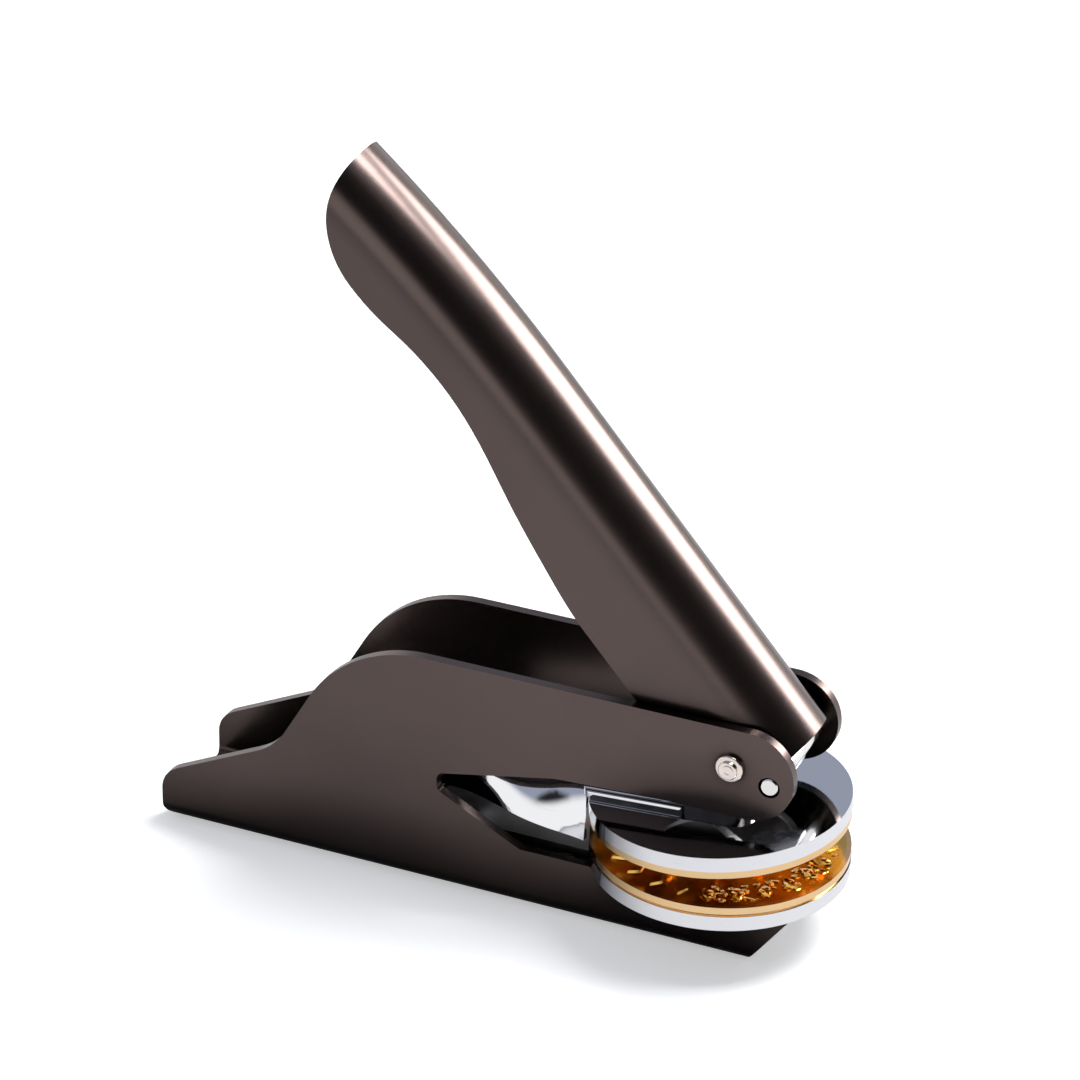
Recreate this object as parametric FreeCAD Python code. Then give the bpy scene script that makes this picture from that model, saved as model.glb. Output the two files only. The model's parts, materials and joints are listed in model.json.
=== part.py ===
import FreeCAD, Part
import math
import os

# Hand-held seal embosser.  Millimetres.  The origin is on the die axis, in the
# plane that the frame rests on.  +X points to the die end, +Z points up and the
# object is symmetric about the XZ plane.  The rest pose is the open one: handle
# raised, upper jaw lifted off the lower die by its spring.

Vec = FreeCAD.Vector
AXIS_Y = Vec(0, 1, 0)
ORIGIN = Vec(0, 0, 0)

# ---------------------------------------------------------------- frame sheet
FRAME_WIDTH = 23.3            # outside, over both walls
FRAME_SHEET = 1.8
FRAME_BEND = 3.2              # outside radius of the two floor bends
FRAME_REAR_X = -99.4
TAIL_TOP_Z = 9.2
TAIL_TOP_RADIUS = 5.0
TAIL_BOTTOM_RADIUS = 3.0
FRONT_FOOT_X = 9.2            # where the slanted front edge meets the table
FRONT_LEDGE_X = 17.6          # where the slanted front edge meets the ledge
FRONT_CORNER_RADIUS = 0.8
LEDGE_Z = 11.4                # top edge of the lower arms: the lower plate sits on it
HUMP_X = -63.45               # where top edge and hump slope would meet
HUMP_RADIUS = 24.5
SADDLE_X = -77.3              # where hump slope and tail slope would meet
SADDLE_Z = 19.85
SADDLE_RADIUS = 12.0
EAR_X = 8.15                  # centre of the round ear end
EAR_RADIUS = 8.05
EAR_JAW_GAP = 3.17            # from the open upper plate, on the die axis, up to the ear
EAR_UNDERSIDE_X = -7.0        # where the underside of the ear becomes level
WINDOW_KINK_X = -25.5
WINDOW_KINK_DROP = 1.0        # below the level underside of the ear
WINDOW_REAR_X = -46.9
WINDOW_REAR_TOP_Z = 22.4
WINDOW_REAR_BOTTOM_Z = 19.2
WINDOW_LEDGE_X = -31.5
WINDOW_RADIUS = 1.4

# ------------------------------------------------------- pivot and stop pins
PIVOT_BACK = 2.9              # behind the centre of the ear end
PIVOT_RISE = 1.05             # above it
PIVOT_RADIUS = 2.4            # shank of the stepped pivot rivet
PIVOT_COLLAR = 0.9            # how far the shank stands out of each wall
PIVOT_BOSS_RADIUS = 1.65
PIVOT_BOSS_HEIGHT = 0.7
PIVOT_BOSS_DIMPLE = 0.25
STOP_AHEAD = 3.85             # ahead of the centre of the ear end
STOP_DROP = 1.15              # below it
STOP_RADIUS = 1.55
STOP_RECESS_RADIUS = 1.85      # shallow ring round each end of the pin
STOP_RECESS_DEPTH = 0.9
STOP_CHAMFER = 0.2
RUNNING_FIT = 0.05            # radial play of a turning shaft
PRESS_FIT = 0.01              # radial play left round a fixed pin

# ------------------------------------------------------------- handle channel
HANDLE_SHEET = 1.5
HANDLE_SIDE_PLAY = 0.3        # between the handle and each frame wall
HANDLE_RAISE = 48.5           # degrees from pressed (level) to rest
HANDLE_CROWN = 11.3           # crown above the pivot axis
HANDLE_SKIRT = 8.5            # straight lower edge below the pivot axis
HANDLE_FRONT = 3.7            # front end ahead of the pivot, at the crown
HANDLE_FRONT_LEAN = 0.159     # lean of the front end: run per rise
HANDLE_STRAIGHT = 66.8        # straight part of the crown behind the pivot
HANDLE_ARCH_RADIUS = 325.0    # the crown bends down behind that
HANDLE_END = 115.4            # rear end behind the pivot
HANDLE_BULB_X = 99.1          # centre of the round rear end
HANDLE_BULB_RADIUS = 16.4
STOP_SLOT_PLAY = 0.15         # between the stop pin and its slot in the handle
GRIP_CURVE = [(31.5, -8.5), (43.1, -7.35), (54.3, -5.5), (65.1, -3.2),
              (75.3, -2.05), (86.0, -2.9), (HANDLE_BULB_X, -4.8)]

# --------------------------------------------------------- jaws, plates, dies
PLATE_RADIUS = 22.0
PLATE_THICK = 2.6
DIE_SETBACK = 0.1             # of the die's rim inside the plate's
DIE_THICK = 1.25
DIE_NECK = 0.45               # height of the shallow neck under the lower die
DIE_NECK_SETBACK = 0.6        # of the neck inside the die's rim
DIE_RELIEF = 0.45             # height of the raised ornament
DIE_RELIEF_PLAY = 0.15        # round the ornament in the counter die, and above it when pressed
STUD_RIM = 4.1                # from the die's rim in to the circle of border studs
STUD_COUNT = 24
ROSETTE_CIRCLE = 7.0
ROSETTE_COUNT = 6
BLIND_WALL = 0.4              # brass left over the tip of a die screw
JAW_SHEET = 1.5
JAW_SIDE_PLAY = 0.55          # between the jaw arms and each frame wall
JAW_BEND = 3.5
JAW_HINGE_X = -70.0
JAW_OPEN = 3.68               # degrees from closed to rest
JAW_PLATE_CLEARANCE = 0.5     # between the flanges and the rim of the lower plate
JAW_FLANGE_FRONT_Z = 11.5     # lower edge of the flanges, jaw closed
JAW_CROWN_FRONT = 4.1         # half width of the flat crown behind the plate
JAW_CROWN_EDGE = 0.6
JAW_SHOULDER_BULGE = 0.06     # rise of the leaning shoulders, per length of their chord
# x, half width of the crown, the foot's setback from the widest part, height of the foot
JAW_STATIONS = [(-49.0, 2.7, 4.9, 14.5), (-45.0, 2.6, 4.6, 14.3), (-40.5, 2.7, 3.4, 14.0),
                (-36.0, 2.9, 1.8, 13.6), (-30.0, 3.3, 0.6, 12.7)]
JAW_NECK_X = -56.0            # the arm widens behind this to the hinge lugs
JAW_NECK_Z = 15.5
JAW_HEEL_X = -63.0
PAD_STEP_X = -3.0             # the pad over the plate narrows here
PAD_STEP = 0.8
PAD_STEP_RADIUS = 0.7
PAD_EDGE_RADIUS = 0.9         # along the upper side edges behind the step
PAD_NOSE_X = 8.0
PAD_NOSE_RADIUS = 4.0
PAD_REAR_RADIUS = 1.5
LOWER_ARM_PLAY = 0.8          # between the lower arm and the inside of the upper one
LOWER_ARM_FRONT_X = 8.0
LOWER_ARM_WIDE_X = -18.0
HINGE_PIN_RADIUS = 1.75
HINGE_LUG_SHEET = 1.5
HINGE_LUG_RADIUS = 3.4
HINGE_PIN_END_PLAY = 0.25

# --------------------------------------------------------- cam bracket
BRACKET_SHEET = 2.0
BRACKET_PLAY = 0.15           # between the bracket and the handle channel
BRACKET_TOP = 7.6             # top of the web above the pivot axis
BRACKET_BEND = 6.0
BRACKET_REAR = 16.0
CAM_PLAY = 0.06               # between the cam edge and the jaw pad
CAM_STEPS = 8

# --------------------------------------------------------- fasteners, springs
RIVET_RADIUS = 1.5
SCREW_RADIUS = 1.5
SCREW_HEAD_RADIUS = 2.7
SCREW_HEAD_HEIGHT = 1.1
SCREW_SLOT_WIDTH = 0.7
SCREW_SLOT_DEPTH = 0.5
POST_RADIUS = 3.5
POST_PLACES = [-30.0, -54.0]
HANDLE_SPRING_THICK = 0.6     # strip bent once round the pivot
HANDLE_SPRING_WIDTH = 7.0
SPRING_SEAT_PLAY = 0.02
SPRING_LEG_PAST = 1.2         # strip beyond the stop pin
SPRING_LEG_REACH = 13.0       # from the pivot to the leg tip under the web
LEAF_THICK = 0.6
LEAF_WIDTH = 6.0
LEAF_TIP_WIDTH = 2.4
LEAF_FOOT_X = -61.0
LEAF_FOOT_LENGTH = 8.0
LEAF_TIP_X = -36.0
LEAF_PLAY = 0.1
SPRING_RIVET_HEAD = 2.4
SPRING_RIVET_HEIGHT = 0.9

# ------------------------------------------------------------ derived values
HALF_WIDTH = FRAME_WIDTH / 2
WALL_INSIDE = HALF_WIDTH - FRAME_SHEET
HANDLE_HALF_WIDTH = WALL_INSIDE - HANDLE_SIDE_PLAY
HANDLE_INSIDE = HANDLE_HALF_WIDTH - HANDLE_SHEET
BRACKET_HALF_WIDTH = HANDLE_INSIDE - BRACKET_PLAY
BRACKET_INSIDE = BRACKET_HALF_WIDTH - BRACKET_SHEET
LOWER_PLATE_TOP = LEDGE_Z + PLATE_THICK
LOWER_DIE_TOP = LOWER_PLATE_TOP + DIE_NECK + DIE_THICK
UPPER_DIE_BOTTOM = LOWER_DIE_TOP + DIE_RELIEF + DIE_RELIEF_PLAY
UPPER_PLATE_BOTTOM = UPPER_DIE_BOTTOM + DIE_THICK
UPPER_PLATE_TOP = UPPER_PLATE_BOTTOM + PLATE_THICK
JAW_TOP = UPPER_PLATE_TOP + JAW_SHEET
JAW_HALF_WIDTH = WALL_INSIDE - JAW_SIDE_PLAY
JAW_INSIDE = JAW_HALF_WIDTH - JAW_SHEET
LOWER_ARM_HALF_WIDTH = JAW_INSIDE - LOWER_ARM_PLAY
JAW_HINGE_Z = (LOWER_DIE_TOP + UPPER_DIE_BOTTOM) / 2
JAW_LUG_RADIUS = JAW_TOP - JAW_HINGE_Z
LOWER_ARM_BOTTOM = LEDGE_Z - JAW_SHEET
DIE_RADIUS = PLATE_RADIUS - DIE_SETBACK
DIE_NECK_RADIUS = DIE_RADIUS - DIE_NECK_SETBACK
STUD_CIRCLE = DIE_RADIUS - STUD_RIM
JAW_FRONT_X = -math.sqrt((PLATE_RADIUS + JAW_PLATE_CLEARANCE) ** 2 - JAW_INSIDE ** 2)
OPEN_COS = math.cos(math.radians(JAW_OPEN))
OPEN_SIN = math.sin(math.radians(JAW_OPEN))
OPEN_PLATE_Z = JAW_HINGE_Z + (UPPER_PLATE_TOP - JAW_HINGE_Z) * OPEN_COS - JAW_HINGE_X * OPEN_SIN
EAR_UNDERSIDE_Z = OPEN_PLATE_Z + EAR_JAW_GAP
EAR_Z = EAR_UNDERSIDE_Z + EAR_RADIUS
FRAME_TOP_Z = EAR_Z + EAR_RADIUS      # straight top edge of the walls
PIVOT_X = EAR_X - PIVOT_BACK
PIVOT_Z = EAR_Z + PIVOT_RISE
STOP_X = EAR_X + STOP_AHEAD
STOP_Z = EAR_Z - STOP_DROP
STOP_REACH = math.hypot(STOP_X - PIVOT_X, STOP_Z - PIVOT_Z)
STOP_ANGLE = math.degrees(math.atan2(STOP_Z - PIVOT_Z, STOP_X - PIVOT_X))
SLOT_RADIUS = STOP_RADIUS + STOP_SLOT_PLAY
RIVET_PLACES = [(-13.0, 0.0), (4.0, 0.0)]
UPPER_SCREW_PLACES = [(-5.5, 0.0)]
LOWER_SCREW_PLACES = [(0.0, 15.5), (0.0, -15.5)]
BRACKET_RIVET = (-6.5, -4.0)  # from the pivot, in the pressed handle


# ------------------------------------------------------------------ helpers
def at(x, z, y=0.0):
    return Vec(x, y, z)


def line(a, b):
    return Part.makeLine(a, b)


def arc(a, b, c):
    return Part.Arc(a, b, c).toShape()


def polar(radius, degrees):
    angle = math.radians(degrees)
    return at(radius * math.cos(angle), radius * math.sin(angle))


def slab(edges, half_width):
    """Solid with the given XZ outline, centred on the XZ plane."""
    face = Part.Face(Part.Wire(Part.__sortEdges__(edges)))
    face.translate(Vec(0, -half_width, 0))
    return face.extrude(Vec(0, 2 * half_width, 0))


def box(x0, x1, y0, y1, z0, z1):
    return Part.makeBox(x1 - x0, y1 - y0, z1 - z0, Vec(x0, y0, z0))


def rod_z(radius, x, y, z0, z1):
    return Part.makeCylinder(radius, z1 - z0, Vec(x, y, z0))


def rod_y(radius, x, z, half_length):
    return Part.makeCylinder(radius, 2 * half_length, Vec(x, -half_length, z), AXIS_Y)


def round_cross_edges(solid, corners):
    """Round the edges parallel to Y that pass through the (x, z, radius) corners."""
    for x, z, radius in corners:
        found = []
        for edge in solid.Edges:
            ends = [v.Point for v in edge.Vertexes]
            near = [abs(p.x - x) < 0.02 and abs(p.z - z) < 0.02 for p in ends]
            if len(ends) == 2 and all(near):
                found.append(edge)
        solid = solid.makeFillet(radius, found)
    return solid


def upright_u(half_width, bottom, top, bend, x0, x1):
    """Bar along X, flat at the top, with both lower edges rounded."""
    bar = box(x0, x1, -half_width, half_width, bottom, top)
    low = [e for e in bar.Edges
           if abs(e.BoundBox.ZMax - bottom) < 0.01 and e.BoundBox.XLength > abs(x1 - x0) / 2]
    return bar.makeFillet(bend, low)


def arched_bar(half_width, bottom, top, bend, x0, x1):
    """Bar along X, flat at the bottom, with both upper edges rounded."""
    bar = box(x0, x1, -half_width, half_width, bottom, top)
    high = [e for e in bar.Edges
            if abs(e.BoundBox.ZMin - top) < 0.01 and e.BoundBox.XLength > abs(x1 - x0) / 2]
    return bar.makeFillet(bend, high)


def raised(shape):
    """Turn a piece modelled in the pressed handle up to the rest pose."""
    shape.rotate(at(PIVOT_X, PIVOT_Z), AXIS_Y, HANDLE_RAISE)
    return shape


def opened(shape):
    """Turn a piece modelled on the closed jaw up to the rest pose."""
    shape.rotate(at(JAW_HINGE_X, JAW_HINGE_Z), AXIS_Y, -JAW_OPEN)
    return shape


def sunk_screw(x, y, head_z, tip_z, play=0.0):
    """Cheese-head screw with the top of its head at head_z, or its hole when play is given."""
    axis = Vec(0, 0, 1 if tip_z > head_z else -1)
    base = Vec(x, y, head_z)
    head = Part.makeCylinder(SCREW_HEAD_RADIUS + play, SCREW_HEAD_HEIGHT, base, axis)
    shank = Part.makeCylinder(SCREW_RADIUS + play, abs(tip_z - head_z), base, axis)
    return head.fuse(shank).removeSplitter()


def screw_hole(x, y, head_z, tip_z):
    return sunk_screw(x, y, head_z, tip_z, PRESS_FIT)


def slotted(screw, x, y, head_z):
    """Cut a driver slot into an upward-driven screw, whose head looks down."""
    slot = box(x - SCREW_HEAD_RADIUS, x + SCREW_HEAD_RADIUS,
               y - SCREW_SLOT_WIDTH / 2, y + SCREW_SLOT_WIDTH / 2,
               head_z, head_z + SCREW_SLOT_DEPTH)
    return screw.cut(slot)


# -------------------------------------------------------------------- frame
def frame_outline():
    """Side outline of the folded frame: tail, hump, ear, window, lower arm."""
    ear_top = at(EAR_X, FRAME_TOP_Z)
    ear_nose = at(EAR_X + EAR_RADIUS, EAR_Z)
    ear_low = at(EAR_X, EAR_UNDERSIDE_Z)
    kink = at(WINDOW_KINK_X, EAR_UNDERSIDE_Z - WINDOW_KINK_DROP)
    corners = [ear_top, at(HUMP_X, FRAME_TOP_Z), at(SADDLE_X, SADDLE_Z),
               at(FRAME_REAR_X, TAIL_TOP_Z), at(FRAME_REAR_X, 0), at(FRONT_FOOT_X, 0),
               at(FRONT_LEDGE_X, LEDGE_Z), at(WINDOW_LEDGE_X, LEDGE_Z),
               at(WINDOW_REAR_X, WINDOW_REAR_BOTTOM_Z), at(WINDOW_REAR_X, WINDOW_REAR_TOP_Z),
               kink, at(EAR_UNDERSIDE_X, EAR_UNDERSIDE_Z), ear_low]
    edges = [line(a, b) for a, b in zip(corners, corners[1:])]
    edges.append(arc(ear_low, ear_nose, ear_top))
    return edges


def make_frame():
    body = slab(frame_outline(), HALF_WIDTH)
    body = round_cross_edges(body, [
        (HUMP_X, FRAME_TOP_Z, HUMP_RADIUS),
        (SADDLE_X, SADDLE_Z, SADDLE_RADIUS),
        (FRAME_REAR_X, TAIL_TOP_Z, TAIL_TOP_RADIUS),
        (FRAME_REAR_X, 0, TAIL_BOTTOM_RADIUS),
        (FRONT_FOOT_X, 0, FRONT_CORNER_RADIUS),
        (FRONT_LEDGE_X, LEDGE_Z, FRONT_CORNER_RADIUS),
        (WINDOW_REAR_X, WINDOW_REAR_BOTTOM_Z, WINDOW_RADIUS),
        (WINDOW_REAR_X, WINDOW_REAR_TOP_Z, WINDOW_RADIUS),
        (WINDOW_LEDGE_X, LEDGE_Z, WINDOW_RADIUS)])
    x0 = FRAME_REAR_X - 1
    x1 = FRONT_LEDGE_X + 1
    outside = upright_u(HALF_WIDTH, 0, FRAME_TOP_Z + 1, FRAME_BEND, x0, x1)
    inside = upright_u(WALL_INSIDE, FRAME_SHEET, FRAME_TOP_Z + 2, FRAME_BEND - FRAME_SHEET, x0 - 1, x1 + 1)
    body = body.common(outside).cut(inside)
    body = body.cut(rod_y(PIVOT_RADIUS + PRESS_FIT, PIVOT_X, PIVOT_Z, HALF_WIDTH + 1))
    body = body.cut(rod_y(STOP_RADIUS + PRESS_FIT, STOP_X, STOP_Z, HALF_WIDTH + 1))
    recess = rod_y(STOP_RECESS_RADIUS, STOP_X, STOP_Z, HALF_WIDTH + 1)
    body = body.cut(recess.cut(rod_y(HALF_WIDTH, STOP_X, STOP_Z, HALF_WIDTH - STOP_RECESS_DEPTH)))
    for x in POST_PLACES:
        body = body.cut(screw_hole(x, 0, 0, FRAME_SHEET + 1))
    return body


def make_pivot_rivet():
    """Shank with a smaller dimpled boss at each end, as left by the rivet set."""
    reach = HALF_WIDTH + PIVOT_COLLAR
    rivet = rod_y(PIVOT_RADIUS, PIVOT_X, PIVOT_Z, reach)
    rivet = rivet.fuse(rod_y(PIVOT_BOSS_RADIUS, PIVOT_X, PIVOT_Z, reach + PIVOT_BOSS_HEIGHT))
    for side in (-1, 1):
        face_y = side * (reach + PIVOT_BOSS_HEIGHT)
        rim = PIVOT_BOSS_RADIUS - STOP_CHAMFER
        dimple = Part.makeCone(rim, rim / 2, PIVOT_BOSS_DIMPLE,
                               Vec(PIVOT_X, face_y, PIVOT_Z), Vec(0, -side, 0))
        rivet = rivet.cut(dimple)
    return rivet


def make_stop_pin():
    pin = rod_y(STOP_RADIUS, STOP_X, STOP_Z, HALF_WIDTH)
    edges = [e for e in pin.Edges if e.BoundBox.YLength < 0.01]
    return pin.makeChamfer(STOP_CHAMFER, edges)


# ------------------------------------------------------------------- handle
def handle_outline():
    """Side outline of the pressed handle about the pivot; the grip is at -X."""
    front_top = at(HANDLE_FRONT + HANDLE_FRONT_LEAN * 2, HANDLE_CROWN + 2)
    front_mid = at(HANDLE_FRONT + HANDLE_FRONT_LEAN * HANDLE_CROWN, 0)
    corner = polar(HANDLE_SKIRT, -45)
    low_front = at(0, -HANDLE_SKIRT)
    turn = polar(HANDLE_SKIRT, -70)
    points = [at(-x, z) for x, z in GRIP_CURVE]
    grip = Part.BSplineCurve()
    grip.interpolate(Points=points, InitialTangent=Vec(-1, 0, 0), FinalTangent=Vec(-1, 0, 0))
    bulb_centre_z = GRIP_CURVE[-1][1] + HANDLE_BULB_RADIUS
    bulb_mid = at(-HANDLE_BULB_X - HANDLE_BULB_RADIUS * math.cos(math.radians(45)),
                  bulb_centre_z - HANDLE_BULB_RADIUS * math.sin(math.radians(45)))
    bulb_end = at(-HANDLE_BULB_X - HANDLE_BULB_RADIUS, bulb_centre_z)
    top_rear = at(-HANDLE_BULB_X - HANDLE_BULB_RADIUS, HANDLE_CROWN + 2)
    return [line(front_top, front_mid), line(front_mid, corner), arc(corner, turn, low_front),
            line(low_front, points[0]), grip.toShape(), arc(points[-1], bulb_mid, bulb_end),
            line(bulb_end, top_rear), line(top_rear, front_top)]


def handle_section(half_width, crown):
    """Round-topped section in the YZ plane, open far below the skirt."""
    centre = crown - half_width
    low = -HANDLE_BULB_RADIUS - HANDLE_SKIRT
    left = Vec(0, -half_width, centre)
    right = Vec(0, half_width, centre)
    edges = [arc(left, Vec(0, 0, crown), right), line(right, Vec(0, half_width, low)),
             line(Vec(0, half_width, low), Vec(0, -half_width, low)),
             line(Vec(0, -half_width, low), left)]
    return Part.Face(Part.Wire(edges))


def handle_bar(half_width, crown):
    """The section carried straight along the crown, then round its long arch."""
    face = handle_section(half_width, crown)
    face.translate(Vec(HANDLE_SKIRT + HANDLE_CROWN, 0, 0))
    straight = face.extrude(Vec(-HANDLE_STRAIGHT - HANDLE_SKIRT - HANDLE_CROWN, 0, 0))
    end = handle_section(half_width, crown)
    end.translate(Vec(-HANDLE_STRAIGHT, 0, 0))
    sweep = math.degrees((HANDLE_END - HANDLE_STRAIGHT + HANDLE_BULB_RADIUS) / HANDLE_ARCH_RADIUS)
    centre = at(-HANDLE_STRAIGHT, HANDLE_CROWN - HANDLE_ARCH_RADIUS)
    arched = end.revolve(centre, AXIS_Y, -sweep)
    return straight.fuse(arched).removeSplitter()


def stop_slot(half_width):
    """Path of the stop pin through the pressed handle, from closed to raised."""
    inner = STOP_REACH - SLOT_RADIUS
    outer = STOP_REACH + SLOT_RADIUS
    a0 = STOP_ANGLE
    a1 = STOP_ANGLE + HANDLE_RAISE
    mid = (a0 + a1) / 2
    wider = math.degrees(SLOT_RADIUS / STOP_REACH)
    edges = [arc(polar(outer, a0), polar(outer, mid), polar(outer, a1)),
             arc(polar(outer, a1), polar(STOP_REACH, a1 + wider), polar(inner, a1)),
             arc(polar(inner, a1), polar(inner, mid), polar(inner, a0)),
             arc(polar(inner, a0), polar(STOP_REACH, a0 - wider), polar(outer, a0))]
    return slab(edges, half_width)


def place_on_pivot(shape):
    shape.translate(at(PIVOT_X, PIVOT_Z))
    return raised(shape)


def bracket_rivet_rod(radius):
    x, z = BRACKET_RIVET
    return rod_y(radius, x, z, HANDLE_HALF_WIDTH)


def make_handle_shell():
    """Folded channel with a full-round crown and a finger-grip lower edge."""
    outer = handle_bar(HANDLE_HALF_WIDTH, HANDLE_CROWN)
    inner = handle_bar(HANDLE_INSIDE, HANDLE_CROWN - HANDLE_SHEET)
    profile = slab(handle_outline(), HANDLE_HALF_WIDTH + 1)
    shell = outer.common(profile).cut(inner)
    shell = shell.cut(stop_slot(HANDLE_HALF_WIDTH + 1))
    shell = shell.cut(rod_y(PIVOT_RADIUS + RUNNING_FIT, 0, 0, HANDLE_HALF_WIDTH + 1))
    shell = shell.cut(bracket_rivet_rod(RIVET_RADIUS + PRESS_FIT))
    return place_on_pivot(shell)


# -------------------------------------------------------------- cam bracket
def cam_height(share):
    """Distance from the pivot down to the jaw pad, and the direction to it.

    share is 0 with the handle pressed and 1 at rest.  Jaw and handle turn in a
    constant ratio, so the pad is a flat follower and the cam edge is the
    envelope of its positions as seen from the handle.
    """
    jaw = math.radians(JAW_OPEN * share)
    reach_x = PIVOT_X - JAW_HINGE_X
    reach_z = PIVOT_Z - JAW_HINGE_Z
    height = math.cos(jaw) * reach_z - math.sin(jaw) * reach_x - JAW_LUG_RADIUS - CAM_PLAY
    slope = -math.sin(jaw) * reach_z - math.cos(jaw) * reach_x
    ratio = JAW_OPEN / (JAW_OPEN + HANDLE_RAISE)
    direction = math.radians(-90 + (JAW_OPEN + HANDLE_RAISE) * share)
    return height, slope * ratio, direction


def cam_point(share):
    height, slope, direction = cam_height(share)
    x = height * math.cos(direction) - slope * math.sin(direction)
    z = height * math.sin(direction) + slope * math.cos(direction)
    return at(x, z)


def cam_edge():
    curve = Part.BSplineCurve()
    curve.interpolate([cam_point(i / CAM_STEPS) for i in range(CAM_STEPS + 1)])
    return curve.toShape()


def bracket_outline():
    """Side outline of the pressed bracket about the pivot."""
    lobe = cam_point(0)
    toe = cam_point(1)
    neck = polar(STOP_REACH - SLOT_RADIUS, STOP_ANGLE)
    back_low = at(-BRACKET_REAR + 2, -3.0)
    back_high = at(-BRACKET_REAR, BRACKET_TOP)
    heel = at(lobe.x - 3.5, lobe.z + 3.0)
    heel_mid = at(lobe.x - 2.3, lobe.z + 0.85)
    front_high = at(HANDLE_FRONT - 0.5, BRACKET_TOP)
    front_mid = at(neck.x, 0)
    return [cam_edge(), line(toe, neck), line(neck, front_mid), line(front_mid, front_high),
            line(front_high, back_high), line(back_high, back_low), line(back_low, heel),
            arc(heel, heel_mid, lobe)]


def make_cam_bracket():
    """Inverted U inside the handle: a web and two flanges that end in cams."""
    profile = slab(bracket_outline(), BRACKET_HALF_WIDTH)
    x0 = -BRACKET_REAR - 1
    x1 = HANDLE_SKIRT
    low = -PIVOT_Z
    outside = arched_bar(BRACKET_HALF_WIDTH, low, BRACKET_TOP, BRACKET_BEND, x0, x1)
    inside = arched_bar(BRACKET_INSIDE, low - 1, BRACKET_TOP - BRACKET_SHEET,
                        BRACKET_BEND - BRACKET_SHEET, x0 - 1, x1 + 1)
    bracket = profile.common(outside).cut(inside)
    bracket = bracket.cut(stop_slot(HANDLE_HALF_WIDTH))
    bracket = bracket.cut(rod_y(PIVOT_RADIUS + RUNNING_FIT, 0, 0, HALF_WIDTH))
    bracket = bracket.cut(bracket_rivet_rod(RIVET_RADIUS + PRESS_FIT))
    return place_on_pivot(bracket)


def make_bracket_rivets():
    """Two flush rivets, one through each handle wall and bracket flange."""
    rods = bracket_rivet_rod(RIVET_RADIUS)
    gap = box(-BRACKET_REAR, 0, -BRACKET_INSIDE, BRACKET_INSIDE, -HANDLE_SKIRT, 0)
    return place_on_pivot(rods.cut(gap))


def make_handle_spring():
    """Strip bent round the pivot: one leg under the stop pin, one under the web."""
    half = HANDLE_SPRING_THICK / 2
    bend = PIVOT_RADIUS + SPRING_SEAT_PLAY + half
    pin_offset = STOP_RADIUS + SPRING_SEAT_PLAY + half
    pin_normal = STOP_ANGLE - math.degrees(math.acos((bend - pin_offset) / STOP_REACH))
    web_height = BRACKET_TOP - BRACKET_SHEET - SPRING_SEAT_PLAY - HANDLE_SPRING_THICK
    web_reach = math.hypot(SPRING_LEG_REACH, web_height)
    web_angle = 180 - math.degrees(math.atan2(web_height, SPRING_LEG_REACH)) - HANDLE_RAISE
    web_normal = web_angle + math.degrees(math.acos(bend / web_reach)) - 360
    pin_seat = polar(STOP_REACH, STOP_ANGLE) + polar(pin_offset, pin_normal)
    pin_tip = pin_seat + polar(SPRING_LEG_PAST, pin_normal + 90)
    web_tip = polar(web_reach, web_angle)
    sides = []
    for offset in (-half, half):
        pin_end = pin_tip + polar(offset, pin_normal)
        web_end = web_tip + polar(offset, web_normal)
        pin_foot = polar(bend + offset, pin_normal)
        web_foot = polar(bend + offset, web_normal)
        elbow = polar(bend + offset, (pin_normal + web_normal) / 2)
        sides.append([line(pin_end, pin_foot), arc(pin_foot, elbow, web_foot), line(web_foot, web_end)])
    ends = [line(sides[0][0].Vertexes[0].Point, sides[1][0].Vertexes[0].Point),
            line(sides[0][-1].Vertexes[-1].Point, sides[1][-1].Vertexes[-1].Point)]
    spring = slab(sides[0] + sides[1] + ends, HANDLE_SPRING_WIDTH / 2)
    spring.translate(at(PIVOT_X, PIVOT_Z))
    return spring


# --------------------------------------------------------------- upper jaw
def jaw_outline():
    """Side outline of the rear channel with the hinge lugs, jaw closed."""
    lug_bottom = JAW_HINGE_Z - JAW_LUG_RADIUS
    top_rear = at(JAW_HINGE_X, JAW_TOP)
    back = at(JAW_HINGE_X - JAW_LUG_RADIUS, JAW_HINGE_Z)
    low_rear = at(JAW_HINGE_X, lug_bottom)
    points = [low_rear, at(JAW_HEEL_X, lug_bottom), at(JAW_NECK_X, JAW_NECK_Z),
              at(JAW_NECK_X, JAW_TOP), top_rear]
    edges = [line(a, b) for a, b in zip(points, points[1:])]
    edges.append(arc(top_rear, back, low_rear))
    return edges


def pad_plan(z):
    """Plan of the flat pad over the plate, from the flanges to the nose."""
    wide = JAW_HALF_WIDTH
    narrow = JAW_HALF_WIDTH - PAD_STEP
    points = [(JAW_FRONT_X, -wide), (PAD_STEP_X, -wide), (PAD_STEP_X, -narrow), (PAD_NOSE_X, -narrow),
              (PAD_NOSE_X, narrow), (PAD_STEP_X, narrow), (PAD_STEP_X, wide), (JAW_FRONT_X, wide)]
    corners = [Vec(x, y, z) for x, y in points]
    return Part.Face(Part.makePolygon(corners + corners[:1]))


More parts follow.
